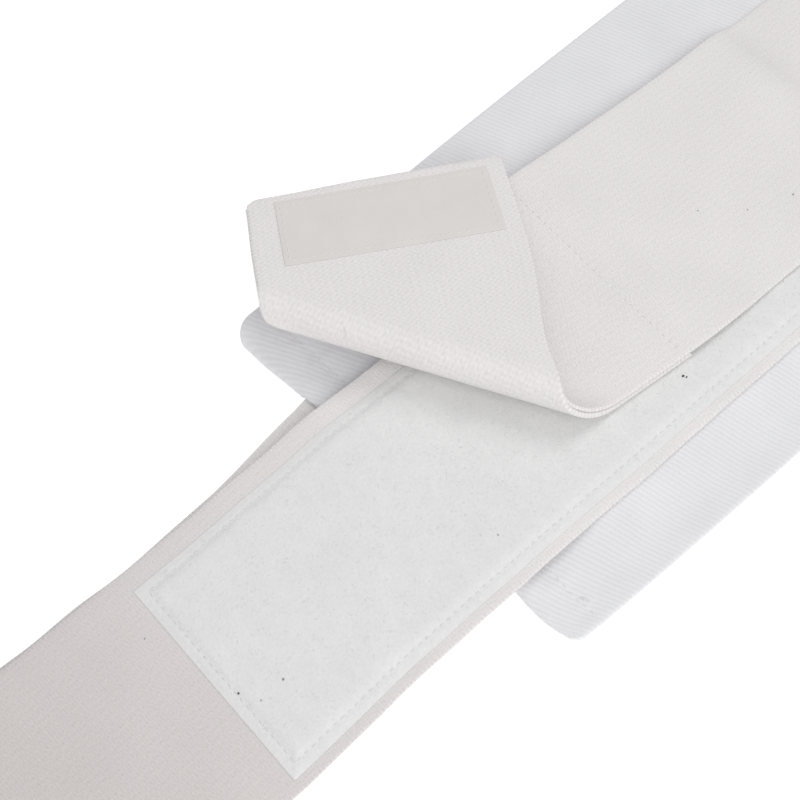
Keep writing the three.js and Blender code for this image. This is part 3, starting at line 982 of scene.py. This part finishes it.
PANEL_STITCH = 3.2
PANEL_RIM = 0.3
FUZZ_COUNT = 4000
FUZZ_ARCH = (-0.05, 0.12, 0.12, -0.05)
FUZZ_RADII = (0.03, 0.04, 0.04, 0.03)
FUZZ_MARGIN = 1.2
FUZZ_REACH = (0.35, 0.75)
PANEL_SPACING = 0.9
PANEL_EDGE = 0.5
PANEL_ROUND = 0.35
PANEL_RISE = 7.0
PANEL_RISE_POWER = 0.7
PANEL_DRAW = 0.3
PANEL_DRAW_REACH = 0.9
TUFT_HEIGHT = 0.09
TUFT_WAVES = (5.5, 2.0, 14)
MATTED_HEIGHT = 0.16
MATTED_WAVES = (26.0, 9.0, 9)
TUFT_RAMP = 3.0
STRAP_SPACING = 1.6
STRAP_SPACING_ACROSS = 2.0


def make_loop_strap(elastic, pile, thread, fuzz_fibre):
    across = stations(-HALF_STRAP, HALF_STRAP, STRAP_SPACING_ACROSS, HALF_ELASTIC)
    places = stations(0.0, LOOP_END, STRAP_SPACING, HALF_ELASTIC)
    strap = strap_sheet(
        "loop_strap_cloth", loop_surface, square(places, across), across,
        -HALF_ELASTIC, HALF_ELASTIC, HALF_ELASTIC, [elastic],
    )
    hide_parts("loop_strap")

    half = PANEL_WIDTH / 2
    end = LOOP_END - PANEL_MARGIN
    start = end - PANEL_LENGTH
    full = HALF_ELASTIC + GAP + LOOP_PILE
    inset = PANEL_STITCH

    def panel_point(distance, place, lift):
        lean = PANEL_SKEW * (end - distance) / PANEL_LENGTH * place / PANEL_WIDTH
        return loop_surface(distance + lean, place + PANEL_OFFSET, lift)

    def panel_top(distance, place):
        from_ends = np.minimum(distance - start, end - distance)
        inward = np.minimum(half - np.abs(place), from_ends)
        risen = smooth(inward / PANEL_RISE) ** PANEL_RISE_POWER
        risen = mix(HALF_ELASTIC + PANEL_RIM, full, risen)
        draw = bulge(inward, -PANEL_DRAW, inset, PANEL_DRAW_REACH)
        tufts = TUFT_HEIGHT * waves(5, distance, place, *TUFT_WAVES)
        tufts = tufts + MATTED_HEIGHT * waves(6, distance, place, *MATTED_WAVES)
        return risen + draw + tufts * smooth((inward - inset) / TUFT_RAMP)

    side_lines = (-half + inset, half - inset)
    across = stations(-half, half, PANEL_SPACING, PANEL_EDGE, side_lines)
    places = stations(start, end, PANEL_SPACING, PANEL_EDGE, (start + inset, end - inset))
    panel = strap_sheet(
        "loop_panel_pile", panel_point, square(places, across), across,
        HALF_ELASTIC + CONTACT, panel_top, PANEL_ROUND, [pile],
    )
    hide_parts("loop_panel")

    def on_panel(distance, place, lift):
        return panel_point(distance, place, panel_top(distance, place) + lift)

    box = stitch_box(start + inset, end - inset, inset - half, half - inset, 70)
    row = stitches("loop_panel_stitches", box, on_panel, thread)
    loops = fuzz_ends(start, end, half)
    fuzz = threads("loop_panel_fuzz", loops, on_panel, FUZZ_ARCH, FUZZ_RADII, 4, fuzz_fibre)
    return [strap, panel]


def fuzz_ends(start, end, half):
    """Flat places of the pile's loose loops, strewn over the panel."""
    source = random.Random(97)
    ends = []
    for _ in range(FUZZ_COUNT):
        distance = source.uniform(start + FUZZ_MARGIN, end - FUZZ_MARGIN)
        across = source.uniform(FUZZ_MARGIN - half, half - FUZZ_MARGIN)
        middle = np.array([distance, across])
        angle = source.uniform(0, math.pi)
        reach = source.uniform(*FUZZ_REACH)
        side = np.array([math.cos(angle), math.sin(angle)]) * reach
        ends.append([middle - side, middle + side])
    return np.array(ends)


FAR_SAG = (1.5, 14.0, 26.0)
SAG_UNEVEN = 0.4
SAG_WAVES = (80.0, 40.0, 4)
DIMPLE = 0.7
DIMPLE_ALONG = (-46.0, 13.0)
DIMPLE_BESIDE = (6.0, 22.0)
NEAR_TUCK = 1.1
TIP_DRAW = 2.2
TIP_BOW = 0.8
SEAM_STITCH = 3.0
SEAM_SLOPE = 42.0
TAPE_THICKNESS = 0.3
TAPE_STITCH = 1.7
TIP_BOW_FROM = 32.0
TIP_BOW_SPAN = 30.0
TIP_REACH = 40.0
FAR_CHAMFER = 2.0
FAR_CHAMFER_REACH = 3.2
FAR_CHAMFER_POWER = 1.5
NEAR_CHAMFER = 1.2
NEAR_CHAMFER_REACH = 2.0
SEAM_DENT = 0.25
SEAM_DENT_REACH = 1.1
SEAM_STITCH_MARGIN = 2.0
HOOK_SWAY = 0.6
SWELL = 0.28
SWELL_WAVES = (90.0, 35.0)
TOP_RUN_RISE = 30.0
TOP_RUN_STOP = 45.0
TOP_RUN_FALL = 40.0
BEFORE_FOLD = 5.0
BEFORE_FOLD_SPAN = 25.0
TAPE_ROUND = 0.25
TAPE_SPACING = (1.5, 1.0)


def doubled_rows(start, across):
    """Rows of the doubled end: fanned to the fold's slant, round the bend, square at the end."""
    begin = distance_past_fold(across, np.zeros_like(across))
    leave = distance_past_fold(across, round_bend(across, 1.0))
    rows = [mix(start, begin, share) for share in np.linspace(0, 1, 41)[:-1]]
    for share in np.linspace(0, 1, 37)[:-1]:
        rows.append(distance_past_fold(across, round_bend(across, share)))
    tip = HOOK_END - tip_inset(across)
    rows += [mix(leave, tip, share) for share in np.linspace(0, 1, 51)]
    return np.array(rows)


def tip_inset(across):
    """How far the end is cut back: most at its far corner, while its nearer part bows out."""
    far = np.maximum(0.0, (across - HALF_STRAP + FAR_CHAMFER_REACH) / FAR_CHAMFER_REACH)
    near = np.maximum(0.0, (-across - HALF_STRAP + NEAR_CHAMFER_REACH) / NEAR_CHAMFER_REACH)
    bow = TIP_BOW * smooth((TIP_BOW_FROM - across) / TIP_BOW_SPAN)
    return FAR_CHAMFER * far**FAR_CHAMFER_POWER + NEAR_CHAMFER * near**2 - bow


def rounded_rows(rows, edge, ends):
    """Adds close rows at the first or last row, where the cloth's end is rounded."""
    rows = list(rows)
    for share in RIM_SHARES[:0:-1]:
        if "first" in ends:
            rows.insert(1, rows[0] + edge * share)
        if "last" in ends:
            rows.insert(-1, rows[-1] - edge * share)
    return np.array(rows)


def hook_surface(distance, across, lift):
    """The hook strap as it lies: gently uneven, its far edge sagging, its tip drawn in."""
    plan = hook_plan(distance, across)
    top_run = smooth((distance - HOOK_FOLD_END) / TOP_RUN_RISE)
    top_run = top_run * smooth((DRIFT_LENGTH - TOP_RUN_STOP - distance) / TOP_RUN_FALL)
    swell = SWELL * (1 + waves(17, distance, across, *SWELL_WAVES)) * top_run
    uneven = 1 + SAG_UNEVEN * waves(19, distance, np.zeros_like(distance), *SAG_WAVES)
    sag = -ramp(across, *FAR_SAG) * uneven
    dimple = bulge(plan[..., 0], -DIMPLE, *DIMPLE_ALONG) * bulge(plan[..., 1], 1.0, *DIMPLE_BESIDE)
    flat = smooth((-BEFORE_FOLD - past_fold(distance, across)) / BEFORE_FOLD_SPAN)
    sink = pressed_edge(np.minimum(across, 0.0)) * top_run
    near = NEAR_TUCK * smooth(-across / HALF_STRAP) * top_run
    tip = smooth((distance - HOOK_END + TIP_REACH) / TIP_REACH)
    tip = tip * smooth(across / HALF_STRAP) ** 2
    side = near - TIP_DRAW * tip + edge_sway(41, distance, across, HOOK_SWAY)
    stepped = (hook_profile.at(distance)[1] - CLOSURE_HEIGHT) / SEAM_RISE_UP
    slope = smooth((distance - SEAM + SEAM_SLOPE) / SEAM_SLOPE)
    eased = SEAM_RISE_UP * (slope - stepped) * (distance > SEAM - SEAM_SLOPE)
    relief = swell + sag * top_run + dimple * flat + sink + eased
    return hook_point(distance, across + side, lift + relief)


def make_hook_strap(elastic, elastic_under, tape, thread):
    across = stations(-HALF_STRAP, HALF_STRAP, STRAP_SPACING_ACROSS, HALF_ELASTIC)
    places = stations(0.0, SEAM, STRAP_SPACING, HALF_ELASTIC)[:-1]
    rows = np.concatenate([square(places, across), doubled_rows(SEAM, across)])
    rows = rounded_rows(rows, HALF_ELASTIC, ["last"])

    def strap_top(distance, place):
        return HALF_ELASTIC - bulge(distance, SEAM_DENT, SEAM + SEAM_STITCH, SEAM_DENT_REACH)

    strap = strap_sheet(
        "hook_strap_cloth", hook_surface, rows, across,
        -HALF_ELASTIC, strap_top, HALF_ELASTIC, [elastic],
    )
    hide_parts("hook_strap")

    def on_strap(distance, place, lift):
        return hook_surface(distance, place, strap_top(distance, place) + lift)

    tape_end = HOOK_END - TAPE_MARGIN
    reach = HALF_STRAP - SEAM_STITCH_MARGIN
    seam_line = SEAM + SEAM_STITCH
    seam_row = stitch_line((seam_line, -reach), (seam_line, reach), 80)
    half = TAPE_LENGTH / 2
    tape_near, tape_far = TAPE_OFFSET - half, TAPE_OFFSET + half
    box = stitch_box(
        tape_end - TAPE_WIDTH + TAPE_STITCH, tape_end - TAPE_STITCH,
        tape_near + TAPE_STITCH, tape_far - TAPE_STITCH, 90,
    )
    ends = np.concatenate([seam_row, box])
    seam = stitches("hook_strap_stitches", ends, on_strap, thread)

    under = -HALF_ELASTIC - GAP - ELASTIC
    across = stations(-HALF_STRAP, HALF_STRAP, STRAP_SPACING, HALF_ELASTIC)
    rows = rounded_rows(doubled_rows(SEAM + GAP, across), HALF_ELASTIC, ["first", "last"])

    def facing_point(distance, place, lift):
        return hook_surface(distance, place + FACING_OFFSET, lift)

    facing = strap_sheet(
        "hook_end_facing_cloth", facing_point, rows, across,
        under, -HALF_ELASTIC - CONTACT, HALF_ELASTIC, [elastic_under],
    )
    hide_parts("hook_end_facing")

    across = stations(tape_near, tape_far, TAPE_SPACING[0], TAPE_ROUND)
    places = stations(tape_end - TAPE_WIDTH, tape_end, TAPE_SPACING[1], TAPE_ROUND)
    face = under - TAPE_THICKNESS
    strip = strap_sheet(
        "hook_strip_tape", hook_surface, square(places, across), across,
        face, under - CONTACT / 2, TAPE_ROUND, [tape],
    )
    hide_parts("hook_strip")

    def on_tape(distance, place, lift):
        return hook_surface(distance, place, face - lift)

    row = stitches("hook_strip_stitches", box, on_tape, thread)
    return [strap, facing, strip]


# Lint and loose thread: name, place seen from above, length, radius and direction

LINT = (
    ("lint_panel_right", -49.9, -36.1, 0.9, 0.28, -20),
    ("lint_panel_right_small", -49.4, -37.0, 0.8, 0.15, 10),
    ("lint_panel_left", -208.7, -21.2, 0.7, 0.24, 100),
    ("lint_hook_right", 20.0, -15.8, 0.6, 0.14, 5),
)
PALE_LINT = (
    ("lint_panel_middle", -125.1, -36.0, 0.5, 0.18, 60),
    ("lint_panel_left_grey", -197.3, -26.7, 0.7, 0.3, 35),
    ("lint_panel_left_small", -205.7, -27.2, 0.5, 0.18, 0),
    ("lint_strap_left", -216.6, 8.9, 0.5, 0.15, 45),
    ("lint_hook_middle", -5.4, 0.0, 0.5, 0.13, 80),
    ("lint_hook_small", 5.9, -10.0, 0.5, 0.12, 30),
)
FLUFF = (
    ("thread_tail_far", -118.6, 33.5, 3.2, 0.16, 70),
    ("thread_tail_near", -118.4, -64.2, 3.4, 0.16, 115),
)
SPECK_ARCH = (0.0, 0.2, 0.3, 0.2, 0.0)
TAIL_ARCH = (0.0, 0.55, 0.75, 0.45, 0.05)
SPECK_TAPER = (0.4, 0.9, 1.0, 0.9, 0.4)


def surface_below(pieces):
    """A point function over what lies highest at each place in plan."""
    trees = []
    for piece in pieces:
        mesh = piece.data
        corners = [vertex.co.copy() for vertex in mesh.vertices]
        trees.append(BVHTree.FromPolygons(corners, [tuple(face.vertices) for face in mesh.polygons]))
    down = Vector((0, 0, -1))

    def height(x, y):
        hits = [tree.ray_cast(Vector((x * MM, y * MM, 1.0)), down)[0] for tree in trees]
        return max(hit.z for hit in hits if hit) / MM

    def point(x, y, lift):
        heights = np.vectorize(height)(x, y)
        return np.stack([x, y, heights + lift], axis=-1)

    return point


def strew(specks, point, arch, material):
    for name, x, y, length, radius, angle in specks:
        turn = math.radians(angle)
        half = np.array([math.cos(turn), math.sin(turn)]) * length / 2
        middle = np.array([x, y])
        radii = [radius * share for share in SPECK_TAPER]
        ends = np.array([[middle - half, middle + half]])
        piece = threads(name, ends, point, arch, radii, 8, material)


# Scene

make_camera()
make_stage()
thread = fibre_material("thread", scaled(THREAD_COLOUR, 0.93), THREAD_COLOUR)
fuzz_fibre = fibre_material("pile_fibre", scaled(PILE_COLOUR, 0.97), scaled(PILE_COLOUR, 1.05))
lint = fibre_material("lint", scaled(LINT_COLOUR, 0.4), LINT_COLOUR)
pale_lint = fibre_material("pale_lint", scaled(PALE_LINT_COLOUR, 0.7), PALE_LINT_COLOUR)
pile_thread = fibre_material("pile_thread", scaled(PILE_COLOUR, 0.88), scaled(PILE_COLOUR, 0.95))
# The loop strap's elastic, with painted shade along its run at the left where the light falls off
shaded_loop_elastic = elastic_material("woven_elastic_painted_shade", painted_shade_run=PAINTED_SHADE_RUN)
twill = twill_material()
elastic = elastic_material("woven_elastic")
elastic_under = elastic_material("woven_elastic_underside", under=True)
pouch = make_pouch(twill, thread)
cloths = make_loop_strap(shaded_loop_elastic, pile_material(), pile_thread, fuzz_fibre)
cloths += make_hook_strap(elastic, elastic_under, tape_material(), thread)
surface = surface_below([pouch, *cloths])
strew(LINT, surface, SPECK_ARCH, lint)
strew(PALE_LINT, surface, SPECK_ARCH, pale_lint)
strew(FLUFF, surface, TAIL_ARCH, thread)
